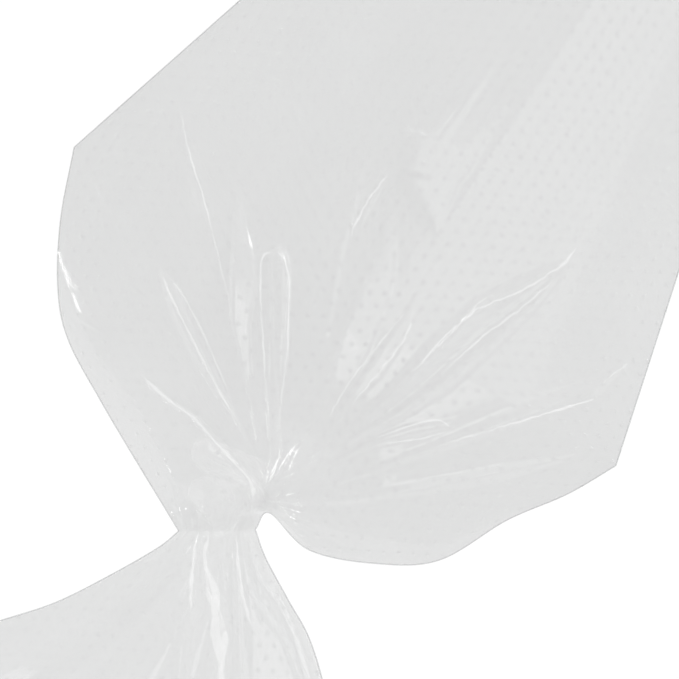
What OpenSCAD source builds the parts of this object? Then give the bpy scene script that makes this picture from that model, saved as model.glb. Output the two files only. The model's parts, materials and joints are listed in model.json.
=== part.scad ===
// Disposable piping bag: two welded sheets of thin clear film, puffed up with air and
// closed by an overhand knot tied in the film itself, with the bag's mouth as a short tail.
// The bag lies on a surface at Z = 0. +X points to the nozzle tip and +Z points up.
// The origin is under the middle of the whole object's box.

/* [Bag] */
// Length from the tip to the shoulder, where the film turns in to the knot
cone_l = 254; // [200:1:300]
// Width across the shoulder
shoulder_w = 147.6; // [130:0.2:150]
// Height of the two side welds above the surface at the shoulder
weld_h = 23; // [20:0.5:28]
// How far the upper sheet stands above the welds at the shoulder
crown_h = 24; // [16:0.5:30]
// How far the lower sheet is pressed flat by the surface it lies on
flat_h = 3; // [2:0.5:5]
// Width of the bag at its sealed tip
tip_w = 12; // [8:1:16]
// Thickness that the film is modelled with
film_t = 0.8; // [0.6:0.1:1.2]

/* [Welds] */
// How far a side weld stands out past the sheets
weld_out = 1.6; // [1:0.2:3]
// Thickness of a weld
weld_t = 0.6; // [0.4:0.1:0.8]
// Length of the seal across the tip
tip_seal_l = 6; // [4:1:10]

/* [Knot] */
// Distance from the shoulder back to the middle of the knot
knot_back = 53; // [52:0.5:58]
// Sideways place of the knot
knot_side = -4; // [-6:0.5:6]
// Height of the middle of the knot
knot_h = 16; // [14:0.5:20]
// Diameter of the knot
knot_d = 19; // [16:0.5:19]
// Turn of the knot's loop about the upright axis
knot_turn = 24; // [0:1:35]

/* [Tail] */
// Length of film from the middle of the knot to the mouth
tail_l = 80; // [60:1:90]
// Angle that the tail spreads to the left of the bag's line
spread_left = 31; // [25:1:35]
// Angle that the tail spreads to the right of the bag's line
spread_right = 56; // [45:1:60]
// Height of the mouth between the two sheets
mouth_h = 15; // [13:0.5:18]
// Number of soft folds across the tail's upper sheet
fold_count = 7; // [4:1:9]
// Depth of those folds at the mouth
fold_h = 1.4; // [0:0.1:2]

/* [Hidden] */

film = [0.86, 0.88, 0.89, 0.55];
weld = [0.78, 0.80, 0.82, 0.8];

// The box's middle, halfway between the tip's end and the tail's end
mid_x = (cone_l + tip_seal_l - knot_back - tail_l) / 2;
knot = [-knot_back - mid_x, knot_side, knot_h];
half_w = shoulder_w / 2;
half_gap = weld_t / 2;

// Steps along the cone, along the gathered end, and across a sheet
cone_n = 14;
gather_n = 15;
across_n = 20;
last = cone_n + gather_n;

// The gathered end closes on a ring of this radius, this far short of the knot's middle
neck_r = 5;
neck_x = knot_back - knot_d / 2 - 1;

function mix(a, b, t) = a + (b - a) * t;
function bezier(a, b, c, d, t) =
    pow(1 - t, 3) * a + 3 * pow(1 - t, 2) * t * b + 3 * (1 - t) * t * t * c + pow(t, 3) * d;
function unit(v) = v / max(norm(v), 1e-9);
function in_cone(i) = i <= cone_n;
function cone_t(i) = i / cone_n;
function gather_t(i) = (i - cone_n) / gather_n;

// Place, half width, weld height and crown of the bag at step i, from the tip to the neck
function at_x(i) = in_cone(i) ? cone_l * (1 - cone_t(i))
    : bezier(0, -0.8 * knot_back, -1.25 * knot_back, -neck_x, gather_t(i));
function at_w(i) = in_cone(i) ? mix(tip_w / 2, half_w, cone_t(i))
    : bezier(half_w, 0.84 * half_w, 0.35 * half_w, neck_r, gather_t(i));
function at_y(i) = in_cone(i) ? 0 : knot_side * pow(gather_t(i), 2);
function at_z(i) = in_cone(i) ? mix(2 * film_t, weld_h, cone_t(i))
    : mix(weld_h, knot_h, pow(gather_t(i), 2));
function at_crown(i) = in_cone(i) ? mix(film_t, crown_h, cone_t(i))
    : bezier(crown_h, 1.3 * crown_h, 0.92 * crown_h, neck_r, gather_t(i));
function at_belly(i) = in_cone(i) ? mix(0, weld_h + flat_h, cone_t(i))
    : bezier(weld_h + flat_h, weld_h + 2.6 * flat_h, weld_h, neck_r, gather_t(i));
// A pillow section in the cone, which becomes round at the neck
function at_power(i) = in_cone(i) ? 1.6 : mix(1.6, 1, gather_t(i));

// Inner face of a sheet at step i and side angle a; up is 1 for the upper sheet, -1 for the lower
function inner(i, a, up) =
    let (rise = pow(max(sin(a), 0), at_power(i)))
    let (z = at_z(i) + up * (half_gap + rise * (up > 0 ? at_crown(i) : at_belly(i))))
    [at_x(i) - mid_x, at_y(i) + at_w(i) * cos(a), max(z, film_t)];
function outward(i, a, up) =
    let (along = inner(min(i + 0.2, last), a, up) - inner(max(i - 0.2, 0), a, up))
    let (across = inner(i, min(a + 2, 180), up) - inner(i, max(a - 2, 0), up))
    up * unit(cross(along, across));
function outer(i, a, up) =
    let (p = inner(i, a, up) + film_t * outward(i, a, up))
    [p.x, p.y, max(p.z, 0)];

// A closed skin between two grids of points with the same number of rows and columns
module skin(low, high) {
    rows = len(low);
    cols = len(low[0]);
    half = rows * cols;
    function id(r, c, s) = s * half + r * cols + c;
    flat_points = [for (g = [low, high], row = g, p = row) p];
    faces = [
        for (r = [0:rows - 2], c = [0:cols - 2], s = [0, 1])
            each s == 0
                ? [[id(r, c, 0), id(r, c + 1, 0), id(r + 1, c, 0)],
                   [id(r, c + 1, 0), id(r + 1, c + 1, 0), id(r + 1, c, 0)]]
                : [[id(r, c, 1), id(r + 1, c, 1), id(r, c + 1, 1)],
                   [id(r, c + 1, 1), id(r + 1, c, 1), id(r + 1, c + 1, 1)]],
        for (r = [0:rows - 2], c = [0, cols - 1])
            each c == 0
                ? [[id(r, c, 0), id(r + 1, c, 0), id(r, c, 1)],
                   [id(r + 1, c, 0), id(r + 1, c, 1), id(r, c, 1)]]
                : [[id(r, c, 0), id(r, c, 1), id(r + 1, c, 0)],
                   [id(r + 1, c, 0), id(r, c, 1), id(r + 1, c, 1)]],
        for (c = [0:cols - 2], r = [0, rows - 1])
            each r == 0
                ? [[id(r, c, 0), id(r, c, 1), id(r, c + 1, 0)],
                   [id(r, c + 1, 0), id(r, c, 1), id(r, c + 1, 1)]]
                : [[id(r, c, 0), id(r, c + 1, 0), id(r, c, 1)],
                   [id(r, c + 1, 0), id(r, c + 1, 1), id(r, c, 1)]]
    ];
    polyhedron(flat_points, faces);
}

module sheet(up) {
    angles = [for (k = [0:across_n]) 180 * k / across_n];
    inside = [for (i = [0:last]) [for (a = angles) inner(i, up > 0 ? a : 180 - a, up)]];
    outside = [for (i = [0:last]) [for (a = angles) outer(i, up > 0 ? a : 180 - a, up)]];
    skin(inside, outside);
}

// A flat strip along a list of points, from weld_in inside them to weld_out outside them
module strip(path, away) {
    weld_in = 1;
    corners = [[-weld_in, -half_gap], [weld_out, -half_gap],
               [weld_out, half_gap], [-weld_in, half_gap]];
    n = len(path);
    points = [for (i = [0:n - 1], c = corners) path[i] + c[0] * away[i] + [0, 0, 0.98 * c[1]]];
    sides = [
        for (i = [0:n - 2], k = [0:3])
            let (a = 4 * i + k, b = 4 * i + (k + 1) % 4)
                each [[a, b, a + 4], [b, b + 4, a + 4]]
    ];
    ends = [[0, 3, 2], [0, 2, 1],
            [4 * n - 4, 4 * n - 3, 4 * n - 2], [4 * n - 4, 4 * n - 2, 4 * n - 1]];
    polyhedron(points, [for (f = concat(sides, ends)) [f[2], f[1], f[0]]]);
}

// side is 1 on the left of the bag and -1 on the right; the weld stops where the film bunches up
module side_weld(side) {
    steps = [for (k = [0:last - 4]) side > 0 ? k : last - 4 - k];
    path = [for (i = steps) [at_x(i) - mid_x, at_y(i) + side * at_w(i), at_z(i)]];
    last_step = len(path) - 1;
    away = [for (k = [0:last_step])
        let (d = path[min(k + 1, last_step)] - path[max(k - 1, 0)])
            unit([-d.y, d.x, 0]) * -1];
    strip(path, away);
}

// The fan of the tail: q runs from the knot (0) to the mouth (1), s across it from -1 to 1
tail_start = knot_d / 2 + 1.2;
tail_mid_a = (spread_right - spread_left) / 2;
tail_half_a = (spread_right + spread_left) / 2;
function tail_a(s) = 180 + tail_mid_a + s * tail_half_a;
function tail_r(q) = mix(tail_start, tail_l, q);
function tail_z(q) = mix(knot_h, mouth_h / 2, min(1, 1.6 * q * (1.6 - q)));
function tail_rise(q, s) =
    mix(0.8 * neck_r, mouth_h / 2 - film_t - half_gap, q) * sqrt(max(0, 1 - s * s));
function tail_fold(q, s) = fold_h * q * sin(fold_count * 180 * s) * (1 - s * s);
function tail_point(q, s, up, lift) =
    let (z = tail_z(q) + up * (half_gap + tail_rise(q, s)) + (up > 0 ? tail_fold(q, s) : 0))
    [knot.x + tail_r(q) * cos(tail_a(s)), knot.y + tail_r(q) * sin(tail_a(s)),
     max(z + up * lift, film_t - lift)];

module tail_sheet(up) {
    q_n = 9;
    s_n = 28;
    function grid(lift) = [for (i = [0:q_n]) [for (k = [0:s_n])
        tail_point(i / q_n, 2 * k / s_n - 1, up, lift)]];
    skin(up > 0 ? grid(film_t) : grid(0), up > 0 ? grid(0) : grid(film_t));
}

module tail_weld(side) {
    q_n = 9;
    steps = [for (k = [1:q_n]) side > 0 ? k / q_n : 1 - (k - 1) / q_n];
    a = tail_a(side);
    path = [for (q = steps) [knot.x + tail_r(q) * cos(a), knot.y + tail_r(q) * sin(a), tail_z(q)]];
    strip(path, [for (q = steps) side * [-sin(a), cos(a), 0]]);
}

module front_sheet() { color(film) sheet(1); }
module back_sheet() { color(film) sheet(-1); }
module left_side_weld() { color(weld) side_weld(1); }
module right_side_weld() { color(weld) side_weld(-1); }

// The seal across the tip, flat between the two sheets' ends
module tip_seal() {
    color(weld)
        translate([cone_l - mid_x, -tip_w / 2, 2 * film_t - half_gap])
            cube([tip_seal_l, tip_w, weld_t]);
}

// Film bunched solid inside the ring where the bag closes
module gathered_neck() {
    plug_l = 7;
    color(film)
        translate([-neck_x - mid_x, knot.y, knot.z])
            rotate([0, 90, 0]) cylinder(h = plug_l, r = neck_r - 0.2, $fn = 48);
}

// The turn of film round the knot, and the run of film that it grips
loop_r = knot_d / 2 * 0.38;
core_r = knot_d / 2 - 2 * loop_r - 0.1;
module knot_loop() {
    color(film)
        translate(knot) rotate([0, 90, knot_turn])
            rotate_extrude($fn = 72) translate([knot_d / 2 - loop_r, 0]) circle(r = loop_r, $fn = 36);
}
module knot_core() {
    color(film)
        translate(knot) rotate([0, 90, knot_turn])
            cylinder(h = 2 * knot_d / 2 - 2, r = core_r, center = true, $fn = 36);
}

module tail_front_sheet() { color(film) tail_sheet(1); }
module tail_back_sheet() { color(film) tail_sheet(-1); }
module tail_left_weld() { color(weld) tail_weld(-1); }
module tail_right_weld() { color(weld) tail_weld(1); }

front_sheet();
back_sheet();
left_side_weld();
right_side_weld();
tip_seal();
gathered_neck();
knot_loop();
knot_core();
tail_front_sheet();
tail_back_sheet();
tail_left_weld();
tail_right_weld();
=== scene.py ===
import json
import math
import bmesh
import bpy
import numpy as np
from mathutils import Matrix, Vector
from mathutils.bvhtree import BVHTree


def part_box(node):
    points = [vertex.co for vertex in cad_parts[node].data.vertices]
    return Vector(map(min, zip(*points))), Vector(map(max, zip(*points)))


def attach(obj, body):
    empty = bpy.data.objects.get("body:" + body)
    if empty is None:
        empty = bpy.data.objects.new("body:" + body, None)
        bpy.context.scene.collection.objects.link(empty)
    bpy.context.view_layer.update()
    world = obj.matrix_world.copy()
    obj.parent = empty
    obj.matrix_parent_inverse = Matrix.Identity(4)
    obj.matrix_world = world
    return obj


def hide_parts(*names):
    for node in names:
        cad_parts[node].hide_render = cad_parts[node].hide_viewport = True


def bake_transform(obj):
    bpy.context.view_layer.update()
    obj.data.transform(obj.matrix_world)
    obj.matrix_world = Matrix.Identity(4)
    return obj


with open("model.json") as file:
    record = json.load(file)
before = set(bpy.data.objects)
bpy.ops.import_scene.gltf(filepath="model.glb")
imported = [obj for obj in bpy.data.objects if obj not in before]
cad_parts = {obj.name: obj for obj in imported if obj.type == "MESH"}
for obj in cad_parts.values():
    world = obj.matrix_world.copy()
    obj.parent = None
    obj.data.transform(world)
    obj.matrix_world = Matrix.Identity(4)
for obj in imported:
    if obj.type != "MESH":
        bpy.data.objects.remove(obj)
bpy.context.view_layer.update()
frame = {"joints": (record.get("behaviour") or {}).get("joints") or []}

mm = 0.001
scene = bpy.context.scene
knotJoint = next(j for j in frame["joints"] if j["name"] == "knot_lift")
knotAt = np.array(knotJoint["pos_m"]) / mm          # middle of the knot, in millimetres
knotToShoulder = 53
sealLow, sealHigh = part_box("tip_seal")
shoulderX = knotAt[0] + knotToShoulder              # where the cone turns in to the knot
coneLong = sealLow.x / mm - shoulderX               # from there to the tip's seal
print("frame loaded, knot at", knotAt)

# looking straight down at the shoulder and the knot
camera = {
    "ahead": 45.8,      # of the knot, towards the tip, mm
    "aside": 0.8,
    "aim": 20,          # height that it looks at, mm
    "away": 1100,       # distance, mm
    "across": 160,      # width seen at that distance, mm
    "tipTurn": 33.4,    # how far the tip leans right of straight up, degrees
}


def makeCamera(c):
    data = bpy.data.cameras.new("camera")
    data.sensor_width = 36
    data.lens = data.sensor_width * c["away"] / c["across"]
    data.clip_start, data.clip_end = 0.05, 20
    obj = bpy.data.objects.new("camera", data)
    scene.collection.objects.link(obj)
    aim = knotAt + np.array([c["ahead"], c["aside"], c["aim"] - knotAt[2]])
    obj.location = Vector(aim * mm) + Vector((0, 0, c["away"] * mm))
    obj.rotation_euler = (0, 0, math.radians(c["tipTurn"] - 90))
    scene.camera = obj


makeCamera(camera)
scene.view_settings.view_transform = "Standard"


def linear(hexColour):
    parts = [int(hexColour[i:i + 2], 16) / 255 for i in (1, 3, 5)]
    return tuple(p / 12.92 if p <= 0.04045 else ((p + 0.055) / 1.055) ** 2.4 for p in parts)


def addNode(tree, kind, settings=None, links=None):
    node = tree.nodes.new(kind)
    for name, value in (settings or {}).items():
        if isinstance(name, int) or name in node.inputs:
            node.inputs[name].default_value = value
        else:
            setattr(node, name, value)
    for name, source in (links or {}).items():
        tree.links.new(source, node.inputs[name])
    return node


def smooth(a, b, x):
    t = np.clip((x - a) / (b - a), 0, 1)
    return t * t * (3 - 2 * t)


# a smooth line through the points, for t from 0 to 1
def curve(points, t):
    pts = np.array(points, float)
    n = len(pts) - 1
    ext = np.vstack([2 * pts[0] - pts[1], pts, 2 * pts[-1] - pts[-2]])
    u = np.clip(np.asarray(t, float), 0, 1) * n
    i = np.minimum(u.astype(int), n - 1)
    f = (u - i)[..., None]
    a, b, c, d = ext[i], ext[i + 1], ext[i + 2], ext[i + 3]
    return 0.5 * (2 * b + (c - a) * f + (2 * a - 5 * b + 4 * c - d) * f ** 2
                  + (3 * b - a - 3 * c + d) * f ** 3)


# how far along a line each place is, how far off it, plus on the side of +y for a line that runs to the
# knot, how far past its ends, and where its points are along it
def alongLine(x, y, points):
    pts = np.array(points, float)[:, :2]
    lengths = np.hypot(*np.diff(pts, axis=0).T)
    pointsAt = np.concatenate([[0], np.cumsum(lengths)])
    best = np.full(x.shape, 1e9)
    off, where, past = np.zeros(x.shape), np.zeros(x.shape), np.zeros(x.shape)
    for i, length in enumerate(lengths):
        (x0, y0), (x1, y1) = pts[i], pts[i + 1]
        ex, ey = (x1 - x0) / length, (y1 - y0) / length
        f = (x - x0) * ex + (y - y0) * ey
        g = np.clip(f, 0, length)
        d = np.hypot(x - x0 - g * ex, y - y0 - g * ey)
        near = d < best
        best = np.where(near, d, best)
        off = np.where(near, (y - y0) * -ex + (x - x0) * ey, off)
        where = np.where(near, pointsAt[i] + g, where)
        past = np.where(near, np.abs(f - g), past)
    return where, off, past, pointsAt


# smooth unevenness of about the given size in mm, the same each run
def ripple(x, y, size, seed):
    rng = np.random.default_rng(seed)
    out = np.zeros_like(x)
    for k in range(7):
        a = rng.uniform(0, 2 * math.pi)
        f = 2 * math.pi / size * rng.uniform(0.6, 1.6)
        out += np.sin(f * (x * math.cos(a) + y * math.sin(a)) + rng.uniform(0, 6.28))
    return out / 7


def gridMesh(name, points, flip=False, closeAcross=False):
    rows, cols = points.shape[:2]
    mesh = bpy.data.meshes.new(name)
    ids = np.arange(rows * cols).reshape(rows, cols)
    nextCol = np.roll(ids, -1, axis=1) if closeAcross else ids[:, 1:]
    thisCol = ids if closeAcross else ids[:, :-1]
    quads = np.stack([thisCol[:-1], nextCol[:-1], nextCol[1:], thisCol[1:]], -1).reshape(-1, 4)
    if flip:
        quads = quads[:, ::-1]
    mesh.from_pydata((points.reshape(-1, 3) * mm).tolist(), [], quads.tolist())
    mesh.polygons.foreach_set("use_smooth", [True] * len(mesh.polygons))
    mesh.update()
    obj = bpy.data.objects.new(name, mesh)
    scene.collection.objects.link(obj)
    return obj


# caps on the open ends, and every face turned outwards
def closeEnds(obj):
    shape = bmesh.new()
    shape.from_mesh(obj.data)
    bmesh.ops.holes_fill(shape, edges=[e for e in shape.edges if e.is_boundary], sides=0)
    bmesh.ops.recalc_face_normals(shape, faces=shape.faces)
    shape.to_mesh(obj.data)
    shape.free()
    return obj


# rings of points round a path, wide across the floor and high up from it, closed at both ends
def sweep(name, path, half, high, sides, flute=None):
    path = np.array(path, float)
    tangent = np.gradient(path, axis=0)
    tangent /= np.linalg.norm(tangent, axis=1, keepdims=True)
    normal = np.zeros_like(path)
    n = np.array([0, 0, 1.0])
    for i in range(len(path)):
        n = n - tangent[i] * n.dot(tangent[i])
        n /= np.linalg.norm(n)
        normal[i] = n
    across = np.cross(tangent, normal)
    around, step = np.meshgrid(np.linspace(0, 2 * math.pi, sides, endpoint=False),
                               np.linspace(0, 1, len(path)))
    scale = flute(around, step) if flute else np.ones_like(around)
    points = (path[:, None] + normal[:, None] * (scale * high * np.cos(around))[..., None]
              + across[:, None] * (scale * half * np.sin(around))[..., None])
    return closeEnds(gridMesh(name, points, closeAcross=True))


# modifiers turned into a plain mesh
def plain(obj):
    graph = bpy.context.evaluated_depsgraph_get()
    graph.update()
    mesh = bpy.data.meshes.new_from_object(obj.evaluated_get(graph))
    old = obj.data
    obj.modifiers.clear()
    obj.data = mesh
    bpy.data.meshes.remove(old)
    mesh.polygons.foreach_set("use_smooth", [True] * len(mesh.polygons))


# a point in metres, from millimetres beyond the middle of the shoulder
def place(x, y, z):
    return Vector((x + shoulderX, y, z)) * mm


def finishPiece(obj, material, bodies, nodes):
    obj.data.materials.append(material)
    if len(bodies) == 1:
        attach(obj, bodies[0])
    else:
        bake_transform(obj)
    if nodes:
        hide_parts(*nodes)


# the bodies that the film runs between and two places between them; a piece given these stays unattached, in
# world place
bagToKnot = ("bag", "knot", (-34, -4, 16), (-52, -4, 16))
knotToTail = ("knot", "tail", (-60, -4, 15), (-74, -6, 15))

# the grip dimples that are embossed over the whole film
dimple = {
    "pitch": 3.5,       # mm
    "across": 1.15,
    "high": 0.12,
    "tight": 13,        # none this near the knot's middle, where the film is drawn smooth
    "tightAt": (-51, 1),
    "gleam": 0.6,       # height for the sheen, more than the real one so that it shows from a metre away
}

# blown low-density polyethylene film. see is how much one layer hides, edge how much more at a glancing
# angle, dimples the strength of the emboss, and glow a painted glow: an emission standing in for the floor's
# light that folded layers scatter
films = {
    # one embossed layer: clear, faintly milky, with small sharp highlights that the dimples break up
    "ldpeFilm": {"see": 0.27, "hex": "#c1c2c2", "rough": 0.10, "edge": 0.10, "dimples": 0.8, "glow": 0},
    # the lower sheet, whose gleam is blurred by the air and the film above it
    "ldpeFilmUnder": {"see": 0.27, "hex": "#c1c2c2", "rough": 0.5, "edge": 0.10, "dimples": 0.1, "glow": 0},
    # the crumpled mouth: a lighter colour than the sheet, a painted sheen standing in for the light its
    # folds catch as they face every way
    "ldpeFilmTailPaintedSheen": {"see": 0.27, "hex": "#dedfdf", "rough": 0.11, "edge": 0.10, "dimples": 0.4, "glow": 0},
    # many layers drawn tight round the knot: a soft milky mass with no emboss left, and a painted glow, an
    # emission standing in for the floor's light scattered through the layers
    "ldpeFilmBunchedPaintedGlow": {"see": 0.075, "hex": "#f4f4f4", "rough": 0.2, "edge": 0.03, "dimples": 0,
                        "glow": 0.4},
    # film melted together: flat and duller than the sheets, a thin darker line
    "ldpeFilmWelded": {"see": 0.22, "hex": "#b0b2b2", "rough": 0.32, "edge": 0.12, "dimples": 0, "glow": 0},
    # film pressed to a sharp fold: pure white with an emission, a painted highlight drawn as a fine bright
    # line
    "ldpeFilmFoldedPaintedHighlight": {"see": 0.17, "hex": "#ffffff", "rough": 0.18, "edge": 0.1, "dimples": 0, "glow": 0.5},
}


# height of the dimples, as a lattice of two staggered sets
def dimpleHeight(tree, coords):
    wide, long = dimple["pitch"] * mm, dimple["pitch"] * mm * math.sqrt(3)
    flat = addNode(tree, "ShaderNodeVectorMath", {"operation": "MULTIPLY", 1: (1 / wide, 1 / long, 0)},
                   {0: coords.outputs["Object"]})
    ends = []
    for shift in (0, 0.5):
        moved = addNode(tree, "ShaderNodeVectorMath", {"operation": "ADD", 1: (shift, shift, 0)},
                        {0: flat.outputs[0]})
        cell = addNode(tree, "ShaderNodeVectorMath", {"operation": "FRACTION"}, {0: moved.outputs[0]})
        middle = addNode(tree, "ShaderNodeVectorMath", {"operation": "SUBTRACT", 1: (0.5, 0.5, 0)},
                         {0: cell.outputs[0]})
        size = addNode(tree, "ShaderNodeVectorMath", {"operation": "MULTIPLY", 1: (wide, long, 0)},
                       {0: middle.outputs[0]})
        ends.append(addNode(tree, "ShaderNodeVectorMath", {"operation": "LENGTH"}, {0: size.outputs[0]}))
    nearest = addNode(tree, "ShaderNodeMath", {"operation": "MINIMUM"},
                      {0: ends[0].outputs["Value"], 1: ends[1].outputs["Value"]})
    return addNode(tree, "ShaderNodeMapRange",
                   {"interpolation_type": "SMOOTHSTEP", "From Min": 0.05 * dimple["across"] * mm,
                    "From Max": 0.55 * dimple["across"] * mm, "To Min": 1.0, "To Max": 0.0},
                   {"Value": nearest.outputs[0]})


def filmMaterial(name, look):
    material = bpy.data.materials.new(name)
    material.use_nodes = True
    tree = material.node_tree
    tree.nodes.clear()
    coords = addNode(tree, "ShaderNodeTexCoord")
    # faint clouds 17 mm across, and unevenness of 1.4 mm that softens the highlights
    haze = addNode(tree, "ShaderNodeTexNoise", {"Scale": 60.0, "Detail": 4.0, "Roughness": 0.6},
                   {"Vector": coords.outputs["Object"]})
    fine = addNode(tree, "ShaderNodeTexNoise", {"Scale": 700.0, "Detail": 2.0},
                   {"Vector": coords.outputs["Object"]})
    bump = addNode(tree, "ShaderNodeBump", {"Strength": 0.035, "Distance": 0.0003},
                   {"Height": fine.outputs["Fac"]})
    if look["dimples"]:
        raised = dimpleHeight(tree, coords)
        bump = addNode(tree, "ShaderNodeBump", {"Strength": look["dimples"],
                                                "Distance": dimple["gleam"] * mm},
                       {"Height": raised.outputs["Result"], "Normal": bump.outputs["Normal"]})
    facing = addNode(tree, "ShaderNodeLayerWeight", {"Blend": 0.25})
    power = addNode(tree, "ShaderNodeMath", {"operation": "POWER", 1: 2.2},
                    {0: facing.outputs["Facing"]})
    extra = addNode(tree, "ShaderNodeMath", {"operation": "MULTIPLY", 1: look["edge"]},
                    {0: power.outputs[0]})
    cloud = addNode(tree, "ShaderNodeMapRange",
                    {"From Min": 0.3, "From Max": 0.7, "To Min": look["see"] - 0.008,
                     "To Max": look["see"] + 0.008}, {"Value": haze.outputs["Fac"]})
    alpha = addNode(tree, "ShaderNodeMath", {"operation": "ADD", "use_clamp": True},
                    {0: cloud.outputs["Result"], 1: extra.outputs[0]})
    # the emission that glow sets is painted light: the film glows though it is no lamp
    shader = addNode(tree, "ShaderNodeBsdfPrincipled",
                     {"Base Color": (*linear(look["hex"]), 1), "Roughness": look["rough"], "IOR": 1.51,
                      "Specular IOR Level": 1.0, "Emission Color": (1, 1, 1, 1),
                      "Emission Strength": look["glow"]},
                     {"Alpha": alpha.outputs[0], "Normal": bump.outputs["Normal"]})
    addNode(tree, "ShaderNodeOutputMaterial", {}, {"Surface": shader.outputs[0]})
    return material


filmMaterials = {name: filmMaterial(name, look) for name, look in films.items()}


# the raised film of a dimple: as clear as the sheet under it, seen by its gleam alone
def dimpleMaterial():
    made = bpy.data.materials.new("ldpeFilmDimple")
    made.use_nodes = True
    tree = made.node_tree
    tree.nodes.clear()
    facing = addNode(tree, "ShaderNodeLayerWeight", {"Blend": 0.5})
    alpha = addNode(tree, "ShaderNodeMath", {"operation": "MULTIPLY_ADD", 1: 0.06, 2: 0.02},
                    {0: facing.outputs["Facing"]})
    shader = addNode(tree, "ShaderNodeBsdfPrincipled",
                     {"Base Color": (*linear("#f2f2f2"), 1), "Metallic": 1.0, "Roughness": 0.2},
                     {"Alpha": alpha.outputs[0]})
    addNode(tree, "ShaderNodeOutputMaterial", {}, {"Surface": shader.outputs[0]})
    return made


filmMaterials["ldpeFilmDimple"] = dimpleMaterial()
print("materials made")

# the bag's two sheets. Places are in mm from the middle of the shoulder, +x to the tip
bag = {
    "farRows": 24,      # of the cone
    "nearRows": 66,     # of the cone's last 45 mm
    "gatherRows": 180,
    "cols": 350,
    "near": 45,
    "crown": 24,        # of the upper sheet above the welds at the shoulder
    "crownSwell": 2.0,  # past the shoulder
    "crownFall": 21,    # to the knot
    "crownDip": 0.55,   # share that the pleats take off the middle near the knot
    "weldHigh": 22,     # of the welds above the floor at the shoulder
    "weldFall": 7,      # of the welds from there to the knot
    "underDeep": 1.15,  # lower sheet's depth below the welds, as a share of the crown
    "tipHigh": 1.6,
    "tipHalf": 6,
    "lens": 1.05,       # power of the section, 1 is a parabola
    "puckerHigh": 0.26,
    "creaseAt": -9,     # the crease that packing left along the middle
    "creaseHigh": 0.42,
    "creaseWide": 0.9,
    "waistHigh": 15,    # middle of the bundle where the tail leaves the knot
    "waistThick": 4.6,
    "beadHalf": 0.17,   # of the weld's bead
    "beadHigh": 0.16,
}
# edges of the bag in plan, from each shoulder corner back to the waist of the knot
leftEdge = [(-3.8, 73.8), (-20, 67), (-34, 58.5), (-42.5, 50), (-50.2, 36), (-58.4, 19.4), (-66, 3.6)]
rightEdge = [(3.8, -73.8), (-8, -68), (-21, -59.5), (-37.5, -51.5), (-46.5, -39.5), (-52.6, -24.5),
             (-50.5, -12), (-55.7, -11.3)]
middleLine = [(0, 0), (-16, -1.5), (-31, -4), (-45, -6), (-60.85, -3.85)]
gatherAt = (-49.0, -9.0)


# t is 0 at the tip, 1 at the shoulder and 2 at the waist; v is -1 at the right weld and 1 at the left
def bagPlan(t, v):
    inCone = (t <= 1)[..., None]
    half = bag["tipHalf"]
    (lx, ly), (rx, ry) = leftEdge[0], rightEdge[0]
    left = np.where(inCone, np.stack([coneLong + (lx - coneLong) * t, half + (ly - half) * t], -1),
                    curve(leftEdge, t - 1))
    right = np.where(inCone, np.stack([coneLong + (rx - coneLong) * t, -half + (ry + half) * t], -1),
                     curve(rightEdge, t - 1))
    mid = np.where(inCone, np.stack([coneLong - coneLong * t, 0 * t], -1), curve(middleLine, t - 1))
    side = np.where((v > 0)[..., None], left, right)
    a = np.abs(v)[..., None]
    bow = a + (a ** 2 - a) * (smooth(0, 1, t - 1) * smooth(2, 1.75, t))[..., None]
    return mid + (side - mid) * np.concatenate([bow, a], -1)


# the fluted bundle where the tail leaves the knot, which both sheets of the bag and of the tail share
def waistHeight(v, up):
    roundness = np.sqrt(np.clip(1 - v ** 2, 0, 1))
    fluted = 0.5 * np.sin(19 * v + 0.7) + 0.35 * np.sin(31 * v + 2)
    return bag["waistHigh"] + up * (bag["waistThick"] + fluted) * roundness


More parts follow.
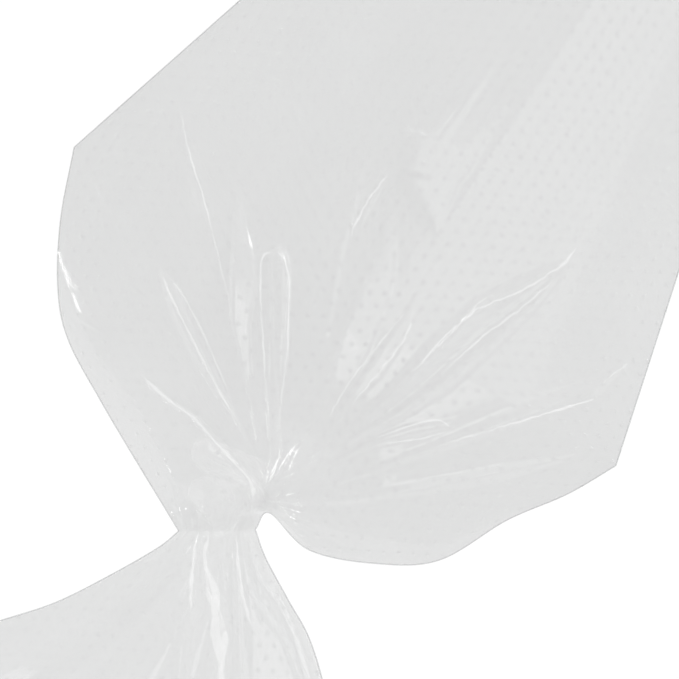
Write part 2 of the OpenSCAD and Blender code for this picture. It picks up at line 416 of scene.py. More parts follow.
# pleats in the upper sheet: kind, height, and the line from tip to root with its half width.
# A welt is a round roll, a facet has a steep left side and falls to the right, a slope is a broad facet
# with a soft left side, a fold is a sharp roof and a ridge is a soft one
pleats = [
    ("ridge", 0.9, [(19, 58.5, 0.3), (11, 52, 2.6), (1, 44, 4.6), (-8, 36.5, 6), (-17, 28.5, 6),
                    (-28, 15.5, 3.4), (-38, 3, 1)]),
    ("slope", 3.2, [(53, 1, 3), (45, 3, 10.5), (36, 0, 8.5), (27, -8, 1)]),
    ("welt", 2.2, [(-16.5, 40.5, 0.4), (-18, 37, 1.7), (-22.5, 31, 1.9), (-27.5, 22.5, 1.7),
                   (-32.5, 14, 1.1), (-34.5, 8, 0.7), (-38.5, 1.5, 0.4), (-42, -4.5, 0.2)]),
    ("facet", 3.6, [(8, 35.5, 0.6), (-2, 27, 2.6), (-8.5, 22.5, 3.4), (-16.5, 18, 2.4), (-23, 12.5, 1.4),
                    (-30, 6, 0.7), (-38, -1, 0.3)]),
    ("welt", 2.0, [(3, 20.5, 0.4), (1.5, 19.5, 2.1), (-1, 17.5, 2.7), (-11.5, 10.5, 2.1), (-21.5, 4, 1.5),
                   (-31, -2.5, 0.6), (-37, -7, 0.3)]),
    ("facet", 2.1, [(27, 5.5, 0.6), (16.5, -1, 2.0), (7.5, -4, 4.0), (-4, -6, 3.9), (-12.5, -8, 3.1),
                    (-22, -9, 1.8), (-31.5, -9.5, 0.8), (-38, -10, 0.3)]),
    ("welt", 0.45, [(9.5, -12.8, 0.3), (5, -13, 0.45), (-1.5, -12.8, 0.5), (-8.5, -12.5, 0.5),
                    (-17, -11.7, 0.45), (-26, -12, 0.3)]),
    ("welt", 0.45, [(2, -8.6, 0.3), (-4, -9.7, 0.45), (-12.5, -10.8, 0.45), (-22, -10.6, 0.3)]),
    ("facet", 0.8, [(9.5, -13, 0.3), (5, -14, 1.1), (-1.5, -14.5, 1.8), (-8.5, -14.5, 2.0),
                    (-17, -13, 1.5), (-25.5, -12.5, 0.8), (-37, -12.5, 0.3)]),
    ("ridge", 3.0, [(37, -37, 0.3), (27, -31.5, 2.0), (16.5, -26.5, 3.0), (3, -23.5, 3.4), (-10.5, -21, 2.6),
                    (-23.5, -16.5, 1.4), (-40, -12, 0.5)]),
    ("ridge", 2.4, [(36, -38, 0.3), (24, -36, 1.8), (11, -32.5, 2.8), (-3, -28.5, 2.8), (-16, -23, 1.8),
                    (-30, -16, 0.8)]),
    ("welt", 1.3, [(-8.5, -35.5, 0.3), (-11, -34, 1.2), (-15, -29.5, 1.7), (-19.5, -25.5, 1.5),
                   (-24.5, -22, 0.9), (-32, -17.5, 0.3)]),
    ("ridge", 1.6, [(24.5, -62.5, 0.4), (15.5, -59, 3.4), (4.5, -51, 3.4), (-7.5, -42, 2.8), (-22, -31, 1.6),
                    (-38, -19, 0.5)]),
    ("welt", 0.7, [(31, 9, 0.3), (24.5, 8.5, 0.7), (18, 7.5, 0.3)]),
    ("welt", 0.5, [(19, 10.5, 0.3), (15.5, 8, 0.5), (13.5, 5.5, 0.3)]),
    ("ridge", 0.6, [(38, 18, 0.3), (23.5, 12.5, 1.6), (9, 7.5, 1.2), (-8, 0, 0.8)]),
    ("ridge", 0.5, [(-4.5, 71, 0.3), (-12, 57, 2.2), (-20.5, 38.5, 2.8), (-29.5, 21.5, 1.6)]),
    ("welt", 0.6, [(-32.5, 57, 0.3), (-31, 54, 0.7), (-29, 51, 0.3)]),
    ("welt", 0.7, [(-37.5, 54.5, 0.3), (-36.5, 51, 0.8), (-36.5, 46, 0.3)]),
    ("ridge", 0.8, [(-14, 12, 0.3), (-26, 4, 1.2), (-40, -6, 0.6)]),
    ("ridge", 0.9, [(-14, -24, 0.3), (-26, -17, 1.2), (-40, -11, 0.6)]),
    ("ridge", 1.2, [(2, -66, 0.3), (-12, -52, 2.6), (-26, -38, 2.6), (-40, -22, 1.2)]),
]


def pleatHeight(x, y, folds):
    h = np.zeros_like(x)
    for kind, height, line in folds:
        where, off, past, pointsAt = alongLine(x, y, line)
        widths = np.array([p[2] for p in line])
        half = np.interp(where, pointsAt, widths)
        u = off / half                                  # 1 at the pleat's left border
        reach = np.exp(-(past / 0.5) ** 2)              # ends softly over half a millimetre
        if kind == "welt":
            shape = np.clip(1 - u ** 2, 0, 1) ** 0.7
        elif kind == "fold":
            shape = np.clip(1 - np.abs(u), 0, 1)
        elif kind == "facet":
            climb = 0.25 + 0.75 * np.clip((u + 1) / 1.7, 0, 1)
            shape = smooth(1.0, 0.7, u) * climb * smooth(-1.0, -0.8, u)
        elif kind == "slope":
            climb = 0.1 + 0.9 * np.clip((u + 1) / 1.5, 0, 1)
            shape = smooth(-1.0, -0.85, u) * climb * smooth(1.0, 0.45, u)
        else:
            shape = np.clip(1 - np.abs(u), 0, 1) ** 1.4
        taper = 1.2 if kind == "facet" else 0.6         # lower where it is narrow
        h += height * (half / widths.max()) ** taper * shape * reach
    return h


# the fold where the bag's film is pulled over the knot
foldLine = [(-39.5, 30), (-40.8, 22), (-40.8, 15.5), (-42.8, 7.7), (-44.2, 2), (-46.4, -4.5), (-50.3, -7),
            (-54.3, -9.2), (-57, -13)]
bulb = {
    "from": (-41, 12),  # its axis runs from the fold to the waist
    "to": (-61, -4),
    "topHalf": 24,      # half its width there, and at the waist
    "waistHalf": 9.2,
    "topHigh": 11,      # its dome there, and at the waist
    "waistHigh": 5.0,
    "base": 20,         # height that the dome stands on at the fold
    "fall": 5,          # of that height, to the waist
    "hollow": 1.5,
}


# smooth film that is pulled tight over the knot
def bulbHeight(x, y):
    ax, ay = bulb["to"][0] - bulb["from"][0], bulb["to"][1] - bulb["from"][1]
    length = math.hypot(ax, ay)
    dx, dy = x - bulb["from"][0], y - bulb["from"][1]
    f = np.clip((dx * ax + dy * ay) / length ** 2, -0.6, 1.1)
    off = (dx * ay - dy * ax) / length
    half = bulb["topHalf"] + (bulb["waistHalf"] - bulb["topHalf"]) * f
    dome = bulb["waistHigh"] + (bulb["topHigh"] - bulb["waistHigh"]) * (1 - smooth(0.25, 1.05, f))
    z = bulb["base"] - bulb["fall"] * f + dome * np.clip(1 - (off / half) ** 2, 0, 1) ** 0.6
    # a soft hollow between the two turns inside
    across = (x + 50.2) * 0.99 + (y - 1) * 0.1
    return z - bulb["hollow"] * np.exp(-(across / 2.4) ** 2) * np.exp(-(y / 8) ** 2)


# the upper sheet where up is 1, and the lower one where it is -1
def bagHeight(t, v, up):
    x, y = np.moveaxis(bagPlan(t, v), -1, 0)
    g = np.clip(t - 1, 0, 1)
    c = np.clip(t, 0, 1)
    weld = bag["tipHigh"] + (bag["weldHigh"] - bag["tipHigh"]) * c - bag["weldFall"] * g ** 2
    # the crown swells past the shoulder and falls to the knot, with no kink at the shoulder
    crown = 1 + (bag["crown"] - 1) * c + bag["crownSwell"] * g - bag["crownFall"] * g ** 2.4
    section = (1 - v ** 2) ** (bag["lens"] - 0.25 * smooth(0.1, 0.5, g))
    dip = 1 - bag["crownDip"] * smooth(0.15, 1, g) * np.exp(-((v + 0.1) / 0.42) ** 2)
    rise = crown * section * dip
    # puckers spread from where the film gathers
    r = np.hypot(x - gatherAt[0], y - gatherAt[1])
    angle = np.arctan2(y - gatherAt[1], x - gatherAt[0])
    toWaist = smooth(1.84, 2.0, t)
    if up > 0:
        inside = smooth(1.0, 0.86, np.abs(v))
        pucker = (np.sin(13 * angle + 0.6) + 0.7 * np.sin(21 * angle + 2.0)
                  + 0.5 * np.sin(37 * angle + 1.1))
        z = weld + rise + bag["puckerHigh"] * pucker * np.exp(-r / 16) * inside * smooth(0.9, 1.1, t)
        z = z + pleatHeight(x, y, pleats) * inside
        crease = np.exp(-np.abs(y - bag["creaseAt"]) / bag["creaseWide"])
        z = z + bag["creaseHigh"] * crease * smooth(24, 28, x) * (1 - smooth(150, 220, x))
        z = z + 0.05 * ripple(x, y, 9, 3) * inside * smooth(0.75, 1.1, t)
        # over the knot the film is pulled smooth, beyond a jagged fold, and down to the weld at its left
        _, off, _, _ = alongLine(x, y, foldLine)
        beyond = 0.35 * ripple(x, y, 3.5, 8) + off
        softer = 0.4 + 9 * smooth(24, 40, y)
        over = smooth(-1, 1, beyond / softer) * smooth(1.0, 0.7, v)
        z = z * (1 - over) + np.maximum(bulbHeight(x, y), 0) * over
        jagged = 1.1 + 0.7 * ripple(x, y, 3, 5)
        roof = np.clip(1 - np.abs(beyond) / 1.1, 0, 1)
        z = z + jagged * roof * smooth(31, 24, y) * (g > 0.4) * (1 - toWaist)
    else:
        # the lower sheet lies on the floor where it carries the bag
        z = np.maximum(weld - rise * bag["underDeep"], 0.15 + 0.1 * ripple(x, y, 30, 4) ** 2)
        pucker = np.sin(11 * angle + 2.6) + 0.7 * np.sin(17 * angle + 1.0)
        lifted = smooth(1.0, 0.8, np.abs(v)) * smooth(0.95, 1.2, t) * smooth(0, 3, z)
        z = z + 0.5 * pucker * np.exp(-r / 26) * lifted
        z = np.maximum(z, 0.15)
    z = z * (1 - toWaist) + waistHeight(v, up) * toWaist
    return np.stack([x + shoulderX, y, z], -1)


def bagSteps():
    t = np.concatenate([np.linspace(0, 1 - bag["near"] / coneLong, bag["farRows"], endpoint=False),
                        np.linspace(1 - bag["near"] / coneLong, 1, bag["nearRows"], endpoint=False),
                        np.linspace(1, 2, bag["gatherRows"])])
    spread = np.linspace(-1, 1, bag["cols"])
    v = 0.85 * spread + 0.15 * np.sin(spread * math.pi / 2)
    return np.meshgrid(t, v, indexing="ij")


def sheetTree(obj):
    return BVHTree.FromPolygons([v.co for v in obj.data.vertices],
                                [tuple(p.vertices) for p in obj.data.polygons])


# folds and pleat borders, which carry painted highlights
fold = {
    "steps": 240,
    "sides": 13,
    "clear": 0.06,      # above the sheet, mm
    "thick": 0.8,       # height as a share of its half width
    "ripple": 4,        # size of its wander, mm
}


# a narrow fold of film lying on a sheet, along a line of (x, y, half width), open below
def makeFold(name, under, line, wander, seed):
    route = curve(line, np.linspace(0, 1, fold["steps"]))
    route[:, 1] += wander * ripple(route[:, 0], route[:, 1], fold["ripple"], seed)
    found = []
    for x, y, half in route:
        hit = under.ray_cast(Vector((x + shoulderX, y, 200)) * mm, Vector((0, 0, -1)))[0]
        if hit is not None:
            found.append((*(c / mm for c in hit), half))
    found = np.array(found)
    path, half = found[:, :3], found[:, 3]
    path[:, 2] = np.convolve(np.pad(path[:, 2], 3, mode="edge"), np.ones(7) / 7, mode="valid")
    along = np.gradient(path[:, :2], axis=0)
    along /= np.linalg.norm(along, axis=1, keepdims=True)
    step = np.linspace(0, 1, len(path))
    ends = 0.15 + smooth(0, 0.08, step) * smooth(1, 0.9, step)
    half = half * (0.75 + 0.25 * np.sin(23 * step + seed)) * ends
    around = np.linspace(-math.pi / 2, math.pi / 2, fold["sides"])
    high = np.minimum(half, 0.5)[:, None] * fold["thick"]
    points = np.zeros((len(path), len(around), 3))
    points[..., 0] = path[:, :1] - along[:, 1:] * half[:, None] * np.sin(around)
    points[..., 1] = path[:, 1:2] + along[:, :1] * half[:, None] * np.sin(around)
    points[..., 2] = path[:, 2:] + fold["clear"] + high * np.cos(around)
    return gridMesh(name, points, flip=True)


def makeBead(name, points):
    return sweep(name, points, bag["beadHalf"], bag["beadHigh"], 8)


def flatArea(obj):
    return sum(p.area for p in obj.data.polygons)


front = gridMesh("frontFilm", bagHeight(*bagSteps(), 1), flip=True)
back = gridMesh("backFilm", bagHeight(*bagSteps(), -1))
finishPiece(front, filmMaterials["ldpeFilm"], bagToKnot, ["front_sheet"])
finishPiece(back, filmMaterials["ldpeFilmUnder"], bagToKnot, ["back_sheet"])
alongBag = bagSteps()[0][:, 0]
for name, side, node in (("leftWeldBead", 1, "left_side_weld"), ("rightWeldBead", -1, "right_side_weld")):
    line = bagHeight(alongBag[:, None], np.full((len(alongBag), 1), float(side)), 1)[:, 0]
    finishPiece(makeBead(name, line), filmMaterials["ldpeFilmWelded"], bagToKnot, [node])

# the fold over the knot, and the sharp borders that the pleats were pressed to: wander and line
bagFolds = {
    "knotFold": (0.9, [(-39.5, 31, 0.2), (-40.8, 22, 0.5), (-41, 15.5, 0.35), (-43, 7.7, 0.55),
                       (-44.4, 2, 0.4), (-46.6, -4.5, 0.5), (-50.3, -7.5, 0.2)]),
    "leftRidgeBorder": (0.3, [(18, 58.5, 0.1), (9, 49, 0.18), (3.5, 42, 0.16), (-4.5, 33, 0.12),
                              (-18.5, 18, 0.1)]),
    "firstPleatLeft": (0.3, [(-17.5, 39, 0.12), (-20, 35.5, 0.25), (-26.5, 24, 0.25), (-32.5, 13.5, 0.2),
                             (-37, 4, 0.1)]),
    "firstPleatRight": (0.3, [(-17, 37.5, 0.1), (-18.5, 33, 0.2), (-23, 24.5, 0.2), (-28.5, 16, 0.15),
                              (-33, 9.5, 0.1)]),
    "thirdPleatLeft": (0.3, [(1.5, 20.5, 0.1), (-1.5, 22, 0.25), (-9.5, 17, 0.2), (-21, 8.5, 0.15),
                             (-34, -1.5, 0.1)]),
    "thirdPleatRight": (0.3, [(2, 20.5, 0.1), (0.5, 16.5, 0.25), (-6, 11.5, 0.2), (-16, 5.5, 0.15),
                              (-33, -3, 0.1)]),
    "middleBorder": (0.3, [(30.5, 8.5, 0.1), (24.5, 9, 0.28), (17.5, 8.5, 0.25), (13.5, 7.5, 0.1)]),
    "fifthPleatLeft": (0.3, [(6.5, -12.5, 0.1), (-2, -11.5, 0.15), (-14, -10.5, 0.15), (-25, -11, 0.1)]),
    "fifthPleatRight": (0.3, [(8, -13.5, 0.1), (2.5, -15.5, 0.25), (-8, -15, 0.2), (-20.5, -13.5, 0.1)]),
    "longPleatLeft": (0.4, [(42, -37.5, 0.12), (36.5, -37, 0.35), (26, -32.5, 0.22), (15, -25.5, 0.22),
                            (2.5, -23, 0.1)]),
    "longPleatRight": (0.4, [(33.5, -37.5, 0.1), (22.5, -34.5, 0.22), (11.5, -30.5, 0.22),
                             (-3.5, -26.5, 0.1)]),
    "roundPleatLeft": (0.2, [(-10, -36, 0.1), (-10.5, -32, 0.25), (-16.5, -26.5, 0.2), (-22, -22.5, 0.1)]),
    "roundPleatRight": (0.2, [(-11, -36, 0.1), (-16.5, -31, 0.2), (-22, -24.5, 0.1)]),
    "rightPleatBorder": (0.4, [(15, -61.5, 0.1), (8, -55.5, 0.3), (-3, -46, 0.18), (-14.5, -36.5, 0.1)]),
}
frontTree = sheetTree(front)
# each fold is drawn in pure white film with an emission: a painted highlight
for seed, (name, (wander, line)) in enumerate(bagFolds.items()):
    finishPiece(makeFold(name, frontTree, line, wander, seed), filmMaterials["ldpeFilmFoldedPaintedHighlight"],
                bagToKnot, [])
print("bag made, sheet areas", round(flatArea(front), 5), round(flatArea(back), 5))

# the tip's seal: both films melted flat between ribbed jaws
seal = {
    "ribs": 5,
    "deep": 0.14,       # of a rib, mm
    "thick": 0.5,
    "lap": 0.4,         # over the sheets' end
    "rows": 60,
    "cols": 40,
}


def makeTipSeal():
    x = np.linspace(sealLow.x / mm - seal["lap"], sealHigh.x / mm, seal["rows"])
    u = np.linspace(-1, 1, seal["cols"])
    xx, uu = np.meshgrid(x, u, indexing="ij")
    length = x[-1] - x[0]
    ribs = seal["deep"] * np.cos(2 * math.pi * seal["ribs"] * (xx - x[0]) / length)
    half = bag["tipHalf"] + 0.1 * np.sin(5 * (xx - x[0]) / length)
    end = smooth(0, 0.35, xx[-1, 0] - xx)
    edge = np.sqrt(np.clip(1 - uu ** 2, 0, 1)) ** 0.4 * (0.4 + 0.6 * end)
    top = np.stack([xx, uu * half, bag["tipHigh"] + (seal["thick"] / 2 + ribs) * edge], -1)
    low = np.stack([xx, uu * half, bag["tipHigh"] - (seal["thick"] / 2 - ribs) * edge], -1)
    ring = np.concatenate([top, low[:, -2:0:-1]], axis=1)
    return closeEnds(gridMesh("tipSealFilm", ring, closeAcross=True))


finishPiece(makeTipSeal(), filmMaterials["ldpeFilmWelded"], ("bag",), ["tip_seal"])
print("tip seal made")

# the tail: the film of the mouth beyond the knot, fanned and folded, of which only the first part is made
tail = {
    "rows": 150,
    "cols": 400,
    "mouthHigh": 7.0,   # middle of the mouth above the floor
    "mouthBow": 19,     # of the mouth's edge, outwards
    "upThick": 3.6,     # of the upper sheet's swell at the mouth
    "downThick": 4.6,
    "wrinkle": 0.12,
    "gatherHigh": 0.4,  # of the fine folds that fan out from the knot
}
tailLeft = [(-66, 3.6), (-72, 5.5), (-84, 11.5), (-97, 19), (-109, 28.5), (-121, 37.5)]
tailRight = [(-55.7, -11.3), (-60, -17.0), (-65.5, -27), (-71, -37), (-82, -50), (-97, -67)]
tailPleats = [
    ("ridge", 2.6, [(-62, 1, 0.5), (-73.5, -3, 1.6), (-80.5, -2.5, 3), (-94.5, 1.5, 4), (-108, 6, 5),
                    (-126, 12, 6)]),
    ("welt", 2.2, [(-58, -7.5, 0.3), (-66.5, -13, 0.9), (-72, -17, 1.2), (-80, -22.5, 1.4), (-90, -30, 1.8),
                   (-106, -42, 2)]),
    ("facet", 2.4, [(-57, -9.5, 0.3), (-64.5, -19, 1.2), (-66.5, -26, 1.6), (-71.5, -34, 1.8),
                    (-78, -42, 2.2), (-92, -56, 3)]),
    ("welt", 1.8, [(-68, -17.5, 0.3), (-70.5, -22.5, 0.9), (-74, -32, 1.2), (-79.5, -40, 1.4),
                   (-92, -50, 1.5)]),
    ("welt", 1.6, [(-63.5, -5, 0.3), (-74, -8.5, 1.1), (-82, -10, 2.0), (-90, -13.5, 2.4), (-98, -17, 1.8),
                   (-118, -22, 2)]),
    ("ridge", 1.4, [(-64, 3, 0.4), (-80, 5, 2), (-96, 11, 3), (-118, 24, 4)]),
    ("fold", 3.2, [(-63, -3, 0.4), (-70, -6.5, 1.4), (-75, -12, 2.2), (-78.5, -17, 2.8), (-84, -20, 2.8),
                   (-92, -24, 2.6), (-110, -32, 2.4)]),
    ("welt", 0.9, [(-60, 0.5, 0.3), (-66, -2.5, 0.6), (-76, -8, 0.7)]),
    ("welt", 0.9, [(-59, -3, 0.3), (-64, -6.5, 0.6), (-72, -13.5, 0.7)]),
    ("welt", 0.8, [(-56.5, -10, 0.3), (-61, -13.5, 0.5), (-68, -21, 0.6)]),
]


# q is 0 at the knot and 1 at the mouth; s is -1 at the left edge and 1 at the right
def tailHeight(q, s, up):
    left, right = curve(tailLeft, q), curve(tailRight, q)
    a = ((s + 1) / 2)[..., None]
    middle = (left + right) / 2
    outward = middle - np.array([-53.0, -4.0])
    outward = outward / np.linalg.norm(outward, axis=-1, keepdims=True)
    bulge = (tail["mouthBow"] * q ** 1.5 * (1 - s ** 2))[..., None]
    plan = left + (right - left) * a + outward * bulge
    edge = np.sqrt(np.clip(1 - s ** 2, 0, 1))
    centre = bag["waistHigh"] + (tail["mouthHigh"] - bag["waistHigh"]) * smooth(0, 0.9, q)
    x, y = plan[..., 0], plan[..., 1]
    grow = smooth(0, 0.25, q)
    if up > 0:
        fanned = centre + edge * tail["upThick"] * (0.55 + 0.45 * np.cos(2.6 * math.pi * s + 0.9))
        fanned = fanned + pleatHeight(x, y, tailPleats) * smooth(1.0, 0.9, np.abs(s)) * smooth(0, 0.05, q)
        fanned = fanned + tail["wrinkle"] * ripple(x, y, 11, 21) * edge
        fine = np.sin(23 * s + 1) + 0.7 * np.sin(37 * s + 2)
        fanned = fanned + tail["gatherHigh"] * np.exp(-q / 0.4) * fine * edge
    else:
        phase = math.pi * (3.4 * s - 0.2 * s ** 2 + 0.9)
        swell = tail["downThick"] * (0.7 + 0.3 * np.sin(phase))
        fanned = centre - edge * swell + 0.3 * edge * np.sin(2.7 * phase)
    z = waistHeight(s, up) * (1 - grow) + fanned * grow
    z = np.maximum(z, 0.2)
    return np.concatenate([plan + np.array([shoulderX, 0]), z[..., None]], -1)


def tailSteps():
    return np.meshgrid(np.linspace(0, 1, tail["rows"]), np.linspace(-1, 1, tail["cols"]), indexing="ij")


tailFront = gridMesh("tailFrontFilm", tailHeight(*tailSteps(), 1), flip=True)
tailBack = gridMesh("tailBackFilm", tailHeight(*tailSteps(), -1))
finishPiece(tailFront, filmMaterials["ldpeFilmTailPaintedSheen"], knotToTail, ["tail_front_sheet"])
finishPiece(tailBack, filmMaterials["ldpeFilmUnder"], knotToTail, ["tail_back_sheet"])
for name, side, node in (("tailLeftBead", -1, "tail_left_weld"), ("tailRightBead", 1, "tail_right_weld")):
    q = np.linspace(0, 1, tail["rows"])[:, None]
    line = tailHeight(q, np.full_like(q, float(side)), 1)[:, 0]
    finishPiece(makeBead(name, line), filmMaterials["ldpeFilmWelded"], knotToTail, [node])

# the brightest folds on it, drawn in pure white film with an emission: painted highlights
tailFolds = {
    "tailFoldMiddle": [(-62, -2.5, 0.3), (-68, -5.2, 0.6), (-73, -10.4, 1.3), (-77.5, -14.6, 1.8),
                       (-84, -20, 1.6), (-90, -24, 0.9), (-97, -28, 0.3)],
    "tailFoldLeft": [(-61.5, 0.5, 0.2), (-68, -2.2, 0.35), (-75, -6, 0.5), (-80, -9, 0.2)],
    "tailFoldRight": [(-59.5, -8.5, 0.2), (-66, -13.5, 0.4), (-71.5, -18.5, 0.45), (-76, -24, 0.2)],
}
tailTree = sheetTree(tailFront)
for seed, (name, line) in enumerate(tailFolds.items()):
    finishPiece(makeFold(name, tailTree, line, 0.4, seed), filmMaterials["ldpeFilmFoldedPaintedHighlight"],
                knotToTail, [])
print("tail made, sheet areas", round(flatArea(tailFront), 5), round(flatArea(tailBack), 5))

# the knot: film twisted to a rope, once round and through
knot = {
    "steps": 260,
    "sides": 54,
    "thick": 3.2,       # radius of the twisted film, mm
    "flutes": 9,
    "fluteDeep": 0.07,  # as a share of the radius
    "voxel": 0.45,
    "soften": 6,        # smoothing steps
    "under": 0.5,       # kept below the film that is pulled over it, mm
}
knotRoute = [(-41, -8, 16), (-44, -4, 13), (-46, 4, 12.5), (-47, 8.5, 15), (-47.5, 5, 18.5),
             (-48.5, -1, 19.5),
             (-50, -6, 18), (-51.5, -5.5, 14), (-53.5, 0, 12.5), (-55, 4, 14.5), (-56, 1, 17.5),
             (-57, -3, 17), (-59, -4, 15.5), (-62, -4.5, 15)]


def makeKnot():
    def flute(around, step):
        wave = (np.sin(knot["flutes"] * around + 9 * step)
                + 0.6 * np.sin((knot["flutes"] + 6) * around - 14 * step + 1))
        ends = smooth(0, 0.1, step) * smooth(1, 0.9, step)
        return (1 + 0.1 * np.sin(math.pi * step)) * (1 + knot["fluteDeep"] * wave) * (0.45 + 0.55 * ends)

    path = curve(knotRoute, np.linspace(0, 1, knot["steps"])) + np.array([shoulderX, 0, 0])
    obj = sweep("knotFilm", path, knot["thick"], knot["thick"], knot["sides"], flute)
    remesh = obj.modifiers.new("remesh", "REMESH")
    remesh.mode = "VOXEL"
    remesh.voxel_size = knot["voxel"] * mm
    soften = obj.modifiers.new("soften", "SMOOTH")
    soften.factor, soften.iterations = 0.5, knot["soften"]
    plain(obj)
    over = sheetTree(front)
    for vertex in obj.data.vertices:
        hit, _, _, _ = over.ray_cast(Vector((vertex.co.x, vertex.co.y, 0.2)), Vector((0, 0, -1)))
        if hit is not None:
            vertex.co.z = min(vertex.co.z, hit.z - knot["under"] * mm)
    return obj


knotFilm = makeKnot()
finishPiece(knotFilm, filmMaterials["ldpeFilmBunchedPaintedGlow"], ("knot",),
            ["knot_loop", "knot_core", "gathered_neck"])
print("knot made", len(knotFilm.data.polygons))


# a cap on every point given, tipped to the film under it
def dimpleTree():
    tree = bpy.data.node_groups.new("embossDimples", "GeometryNodeTree")
    for name, kind, way in (("Geometry", "NodeSocketGeometry", "INPUT"),
                            ("Dimple Width", "NodeSocketFloat", "INPUT"),
                            ("Dimple Height", "NodeSocketFloat", "INPUT"),
                            ("Film", "NodeSocketMaterial", "INPUT"),
                            ("Geometry", "NodeSocketGeometry", "OUTPUT")):
        tree.interface.new_socket(name, in_out=way, socket_type=kind)
    given = addNode(tree, "NodeGroupInput")
    # the top of a ball, one unit across, with its rim on the film
    ball = addNode(tree, "GeometryNodeMeshUVSphere", {"Segments": 8, "Rings": 8, "Radius": 0.7071})
    spot = addNode(tree, "GeometryNodeInputPosition")
    split = addNode(tree, "ShaderNodeSeparateXYZ", {}, {"Vector": spot.outputs[0]})
    below = addNode(tree, "FunctionNodeCompare", {"operation": "LESS_THAN"}, {"A": split.outputs["Z"]})
    below.inputs["B"].default_value = 0.49
    cap = addNode(tree, "GeometryNodeDeleteGeometry", {"domain": "POINT"},
                  {"Geometry": ball.outputs["Mesh"], "Selection": below.outputs["Result"]})
    sunk = addNode(tree, "GeometryNodeTransform", {"Translation": (0, 0, -0.5)},
                   {"Geometry": cap.outputs["Geometry"]})
    shaded = addNode(tree, "GeometryNodeSetShadeSmooth", {}, {"Geometry": sunk.outputs["Geometry"]})
    facing = addNode(tree, "GeometryNodeInputNamedAttribute", {"data_type": "FLOAT_VECTOR"})
    facing.inputs["Name"].default_value = "facing"
    turn = addNode(tree, "FunctionNodeAlignRotationToVector", {"axis": "Z"},
                   {"Vector": facing.outputs["Attribute"]})
    size = addNode(tree, "ShaderNodeCombineXYZ", {}, {"X": given.outputs["Dimple Width"],
                   "Y": given.outputs["Dimple Width"], "Z": given.outputs["Dimple Height"]})
    spread = addNode(tree, "GeometryNodeInstanceOnPoints", {},
                     {"Points": given.outputs["Geometry"], "Instance": shaded.outputs["Geometry"],
                      "Rotation": turn.outputs["Rotation"], "Scale": size.outputs["Vector"]})
    real = addNode(tree, "GeometryNodeRealizeInstances", {}, {"Geometry": spread.outputs["Instances"]})
    finish = addNode(tree, "GeometryNodeSetMaterial", {},
                     {"Geometry": real.outputs["Geometry"], "Material": given.outputs["Film"]})
    addNode(tree, "NodeGroupOutput", {}, {"Geometry": finish.outputs["Geometry"]})
    return tree


capHigh = 0.2071     # of the cap above before it is scaled


# where the lattice of dimples meets a sheet, on the same lattice as the film's own emboss
def dimplePoints(obj, up):
    look = sheetTree(obj)
    co = np.array([v.co for v in obj.data.vertices]) / mm
    low, high = co.min(0), co.max(0)
    wide, long = dimple["pitch"], dimple["pitch"] * math.sqrt(3)
    tightX, tightY = dimple["tightAt"]
    found = []
    for shift in (0, 0.5):
        for i in range(math.floor(low[0] / wide) - 1, math.ceil(high[0] / wide) + 1):
            for j in range(math.floor(low[1] / long) - 1, math.ceil(high[1] / long) + 1):
                x, y = (i + 0.5 - shift) * wide, (j + 0.5 - shift) * long
                start = Vector((x, y, 200 * up)) * mm
                hit, normal, _, _ = look.ray_cast(start, Vector((0, 0, -up)))
                tight = math.hypot(x - shoulderX - tightX, y - tightY) < dimple["tight"]
                if hit is not None and abs(normal.z) > 0.4 and not tight:
                    found.append((hit, normal if normal.z * up > 0 else -normal))
    return found


def makeDimples(obj, tree, up):
    found = dimplePoints(obj, up)
    mesh = bpy.data.meshes.new(obj.name + "Dimples")
    mesh.from_pydata([p for p, _ in found], [], [])
    facing = mesh.attributes.new("facing", "FLOAT_VECTOR", "POINT")
    facing.data.foreach_set("vector", [c for _, n in found for c in n])
    dots = bpy.data.objects.new(obj.name + "Dimples", mesh)
    scene.collection.objects.link(dots)
    modifier = dots.modifiers.new("dimples", "NODES")
    modifier.node_group = tree
    ids = {item.name: item.identifier for item in tree.interface.items_tree if item.in_out == "INPUT"}
    modifier[ids["Dimple Width"]] = dimple["across"] * mm
    modifier[ids["Dimple Height"]] = dimple["high"] / capHigh * mm
    modifier[ids["Film"]] = filmMaterials["ldpeFilmDimple"]
    plain(dots)
    return dots


dimpleGroup = dimpleTree()
for sheet, up, bodies in ((front, 1, bagToKnot), (back, -1, bagToKnot), (tailFront, 1, knotToTail),
                          (tailBack, -1, knotToTail)):
    dots = makeDimples(sheet, dimpleGroup, up)
    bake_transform(dots)
    print(dots.name, len(dots.data.polygons))


# white table, lit evenly from below as the film is clear, and a plain pale room
stage = {
    "floorHalf": 1.6,   # m
    "floorGlow": 1.0,
    "roomGlow": 0.43,
}


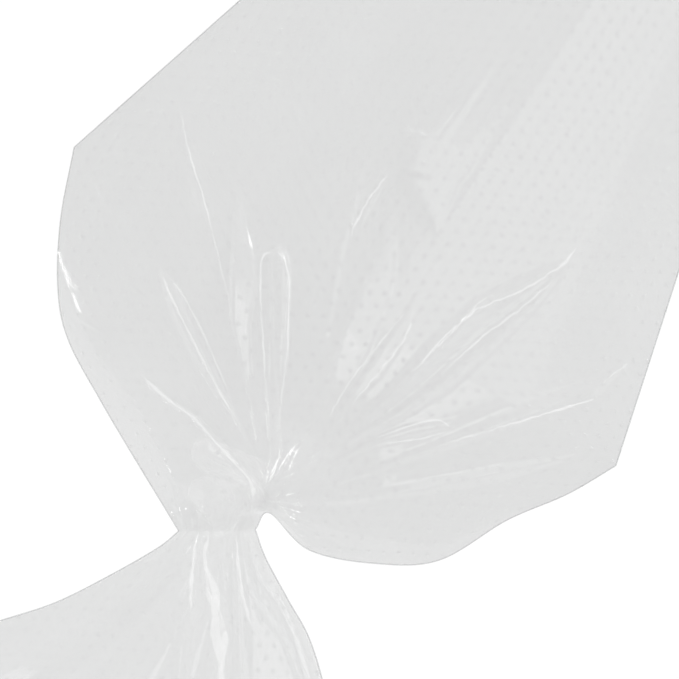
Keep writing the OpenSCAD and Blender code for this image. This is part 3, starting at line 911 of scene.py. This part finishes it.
def makeStage():
    mesh = bpy.data.meshes.new("floor")
    size = stage["floorHalf"]
    mesh.from_pydata([(-size, -size, 0), (size, -size, 0), (size, size, 0), (-size, size, 0)], [],
                     [(0, 1, 2, 3)])
    floor = bpy.data.objects.new("floor", mesh)
    scene.collection.objects.link(floor)
    table = bpy.data.materials.new("whiteTable")
    table.use_nodes = True
    shader = table.node_tree.nodes["Principled BSDF"]
    for name, value in (("Base Color", (0.02, 0.02, 0.02, 1)), ("Roughness", 0.9),
                        ("Specular IOR Level", 0.1), ("Emission Color", (1, 1, 1, 1)),
                        ("Emission Strength", stage["floorGlow"])):
        shader.inputs[name].default_value = value
    mesh.materials.append(table)
    world = bpy.data.worlds.new("studio")
    scene.world = world
    world.use_nodes = True
    world.node_tree.nodes["Background"].inputs["Color"].default_value = (1, 1, 1, 1)
    world.node_tree.nodes["Background"].inputs["Strength"].default_value = stage["roomGlow"]


# name, direction, width and height in metres, glow. The two softboxes gleam on the cone's right side and
# on the pleats; the low strips and panels draw the pleats' borders
lights = [
    ("coneSoftbox", (0.32, -0.50, 0.81), (0.66, 0.66), 0.95),
    ("gatherSoftbox", (-0.2, -0.46, 0.87), (0.5, 0.5), 2.2),
    ("leftStrip", (-0.45, 0.89, 0.10), (0.4, 0.05), 14),
    ("upStrip", (0.45, 0.89, 0.12), (0.9, 0.05), 9),
    ("rightPanel", (0.62, -0.78, 0.22), (0.6, 0.16), 3),
    ("tipPanel", (1.0, -0.15, 0.18), (0.5, 0.16), 12),
    ("mouthStrip", (-1.0, 0.15, 0.14), (0.4, 0.08), 12),
]


# a light a metre off in the given direction, with its width level
def makeLight(name, towards, size, glow):
    data = bpy.data.lights.new(name, "AREA")
    data.shape = "RECTANGLE"
    data.size, data.size_y = size
    data.energy = glow * math.pi * size[0] * size[1]
    obj = bpy.data.objects.new(name, data)
    aim = place(-5, 0, 30)
    obj.location = aim + Vector(towards).normalized()
    obj.rotation_euler = (aim - obj.location).to_track_quat("-Z", "Y").to_euler()
    scene.collection.objects.link(obj)


makeStage()
for light in lights:
    makeLight(*light)
print("stage and lights made")
